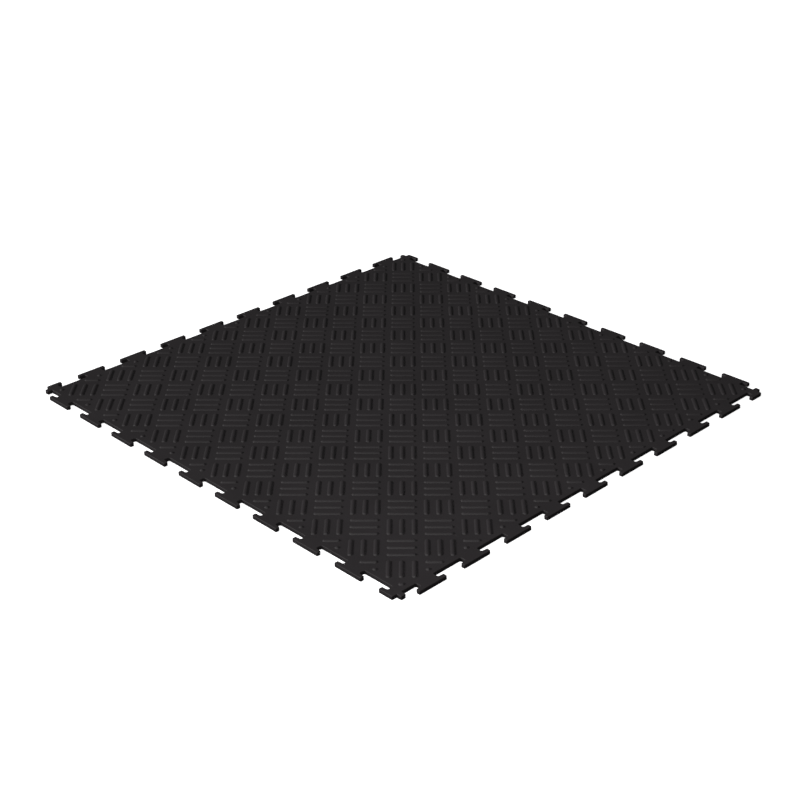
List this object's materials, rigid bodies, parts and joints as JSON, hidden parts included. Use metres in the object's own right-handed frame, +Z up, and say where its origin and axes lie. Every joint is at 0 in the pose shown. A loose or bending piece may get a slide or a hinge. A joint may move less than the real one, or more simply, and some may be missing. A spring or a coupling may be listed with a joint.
{
  "type": "interlocking floor tile",
  "caption": "Flat square black floor tile with raised checker tread bars on top and T-shaped lock tabs along every side, pressed into the edges of like tiles to cover a floor.",
  "frame": {"origin": "centre of the underside, on the floor", "axes": "+Z up out of the tread side, -Y to the front side and +X to the right side; a quarter turn about Z brings the outline onto itself"},
  "size_m": [0.51, 0.51, 0.005],
  "materials": {
    "body": "matte moulded PVC",
    "lock_tabs": "matte moulded PVC",
    "tread": "matte moulded PVC"
  },
  "bodies": {
    "root": {"base_slab": "body", "front_lock_tabs": "lock_tabs", "right_lock_tabs": "lock_tabs", "back_lock_tabs": "lock_tabs", "left_lock_tabs": "lock_tabs", "front_right_corner_tab": "lock_tabs", "back_right_corner_tab": "lock_tabs", "back_left_corner_tab": "lock_tabs", "front_left_corner_tab": "lock_tabs", "falling_tread_bars": "tread", "rising_tread_bars": "tread", "border_tread_bars": "tread"}
  },
  "joints": []
}
